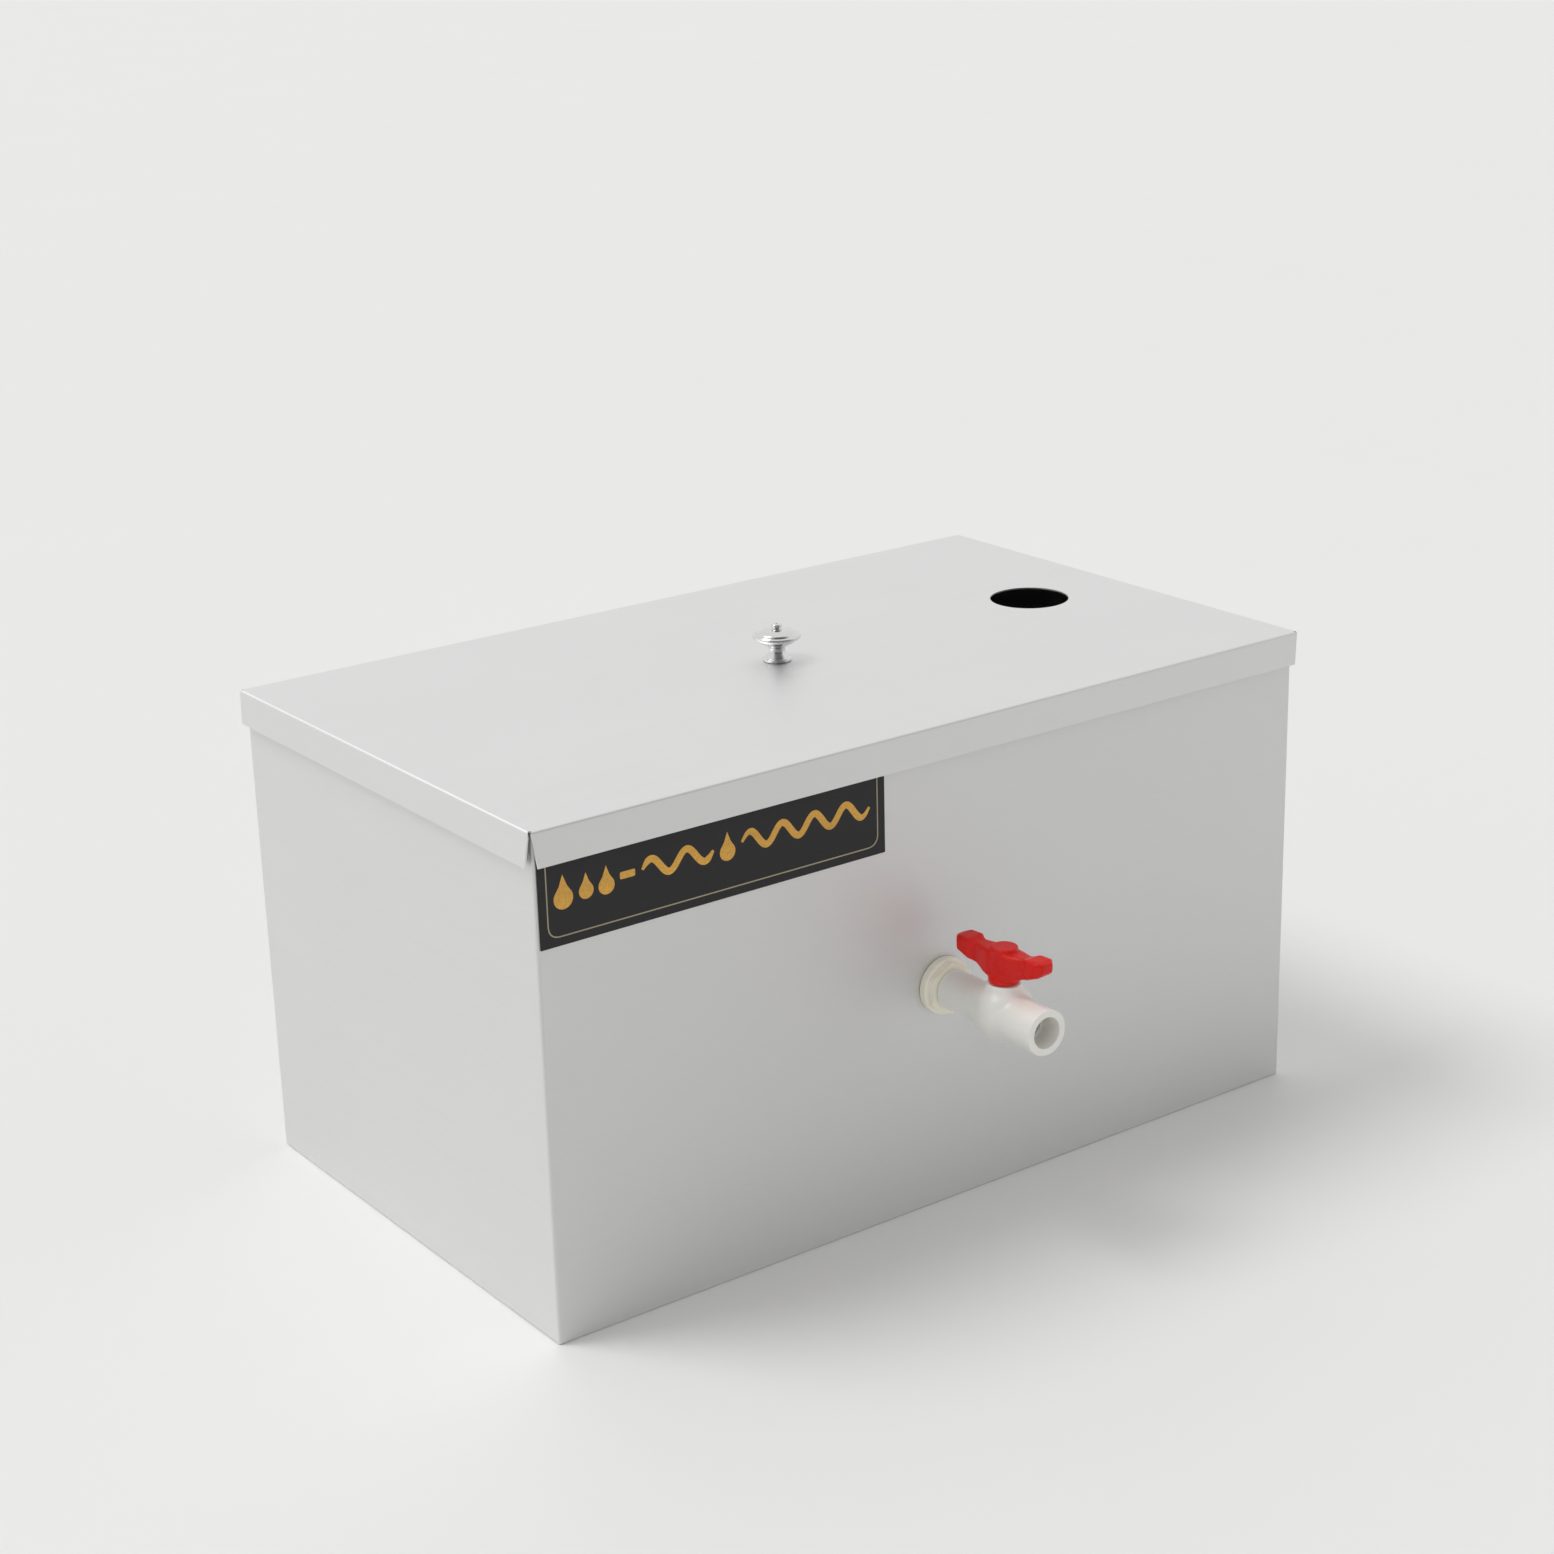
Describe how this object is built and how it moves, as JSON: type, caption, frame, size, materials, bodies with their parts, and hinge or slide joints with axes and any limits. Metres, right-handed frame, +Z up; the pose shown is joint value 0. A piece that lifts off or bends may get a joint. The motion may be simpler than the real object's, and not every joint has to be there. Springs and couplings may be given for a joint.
{
  "type": "grease trap",
  "caption": "Rectangular stainless under-sink grease trap with lift-off lid, round inlet hole, lift-out baffles, strainer basket, quarter-turn drain valve and rear pipe outlet.",
  "frame": {"origin": "middle of the tank's underside, on the floor", "axes": "+X along the front from the label end to the inlet end, +Y from the front with the valve to the rear with the outlet, +Z up"},
  "size_m": [0.6094, 0.5032, 0.3499],
  "materials": {
    "tank_steel": "satin brushed stainless sheet",
    "lid_steel": "satin brushed stainless sheet",
    "inner_steel": "mill finish stainless sheet",
    "wire_steel": "bright drawn stainless wire",
    "fastener_steel": "plain stainless fastener",
    "knob_chrome": "polished chrome",
    "label_film": "charcoal printed film, bare of words",
    "seal_rubber": "pale moulded silicone rubber",
    "cream_plastic": "cream moulded plastic",
    "white_plastic": "off-white moulded plastic",
    "seat_plastic": "slippery white seat plastic",
    "red_plastic": "red moulded plastic",
    "grey_plastic": "grey drain pipe plastic"
  },
  "bodies": {
    "trap": {"tank_shell": "tank_steel", "lid": "lid_steel", "lid_knob": "knob_chrome", "lid_knob_washer": "fastener_steel", "lid_knob_screw": "fastener_steel", "label_plate": "label_film", "baffle_inlet": "inner_steel", "baffle_outlet": "inner_steel", "baffle_guide_inlet_front": "inner_steel", "baffle_guide_inlet_rear": "inner_steel", "baffle_guide_outlet_front": "inner_steel", "baffle_guide_outlet_rear": "inner_steel", "strainer_basket": "inner_steel", "basket_rail_front": "inner_steel", "basket_rail_rear": "inner_steel", "basket_ear_left": "inner_steel", "basket_ear_right": "inner_steel", "valve_gasket": "seal_rubber", "valve_flange": "cream_plastic", "valve_locknut": "cream_plastic", "valve_body": "white_plastic", "valve_seat_inner": "seat_plastic", "valve_seat_outer": "seat_plastic", "outlet_gasket": "seal_rubber", "outlet_fitting": "grey_plastic", "outlet_locknut": "grey_plastic", "outlet_elbow": "grey_plastic", "outlet_drop_pipe": "grey_plastic"},
    "valve_plug": {"valve_handle": "red_plastic", "valve_stem": "white_plastic", "valve_stem_o_ring": "seal_rubber", "valve_ball": "white_plastic"},
    "bail": {"basket_bail": "wire_steel"}
  },
  "joints": [
    {"name": "valve_turn", "type": "hinge", "parent": "trap", "child": "valve_plug", "pos_m": [-0.005, -0.2346, 0.152], "axis": [0, 0, 1], "range_deg": [-5, 85]},
    {"name": "bail_swing", "type": "hinge", "parent": "trap", "child": "bail", "pos_m": [0.205, 0, 0.2388], "axis": [1, 0, 0], "range_deg": [0, 180]}
  ]
}
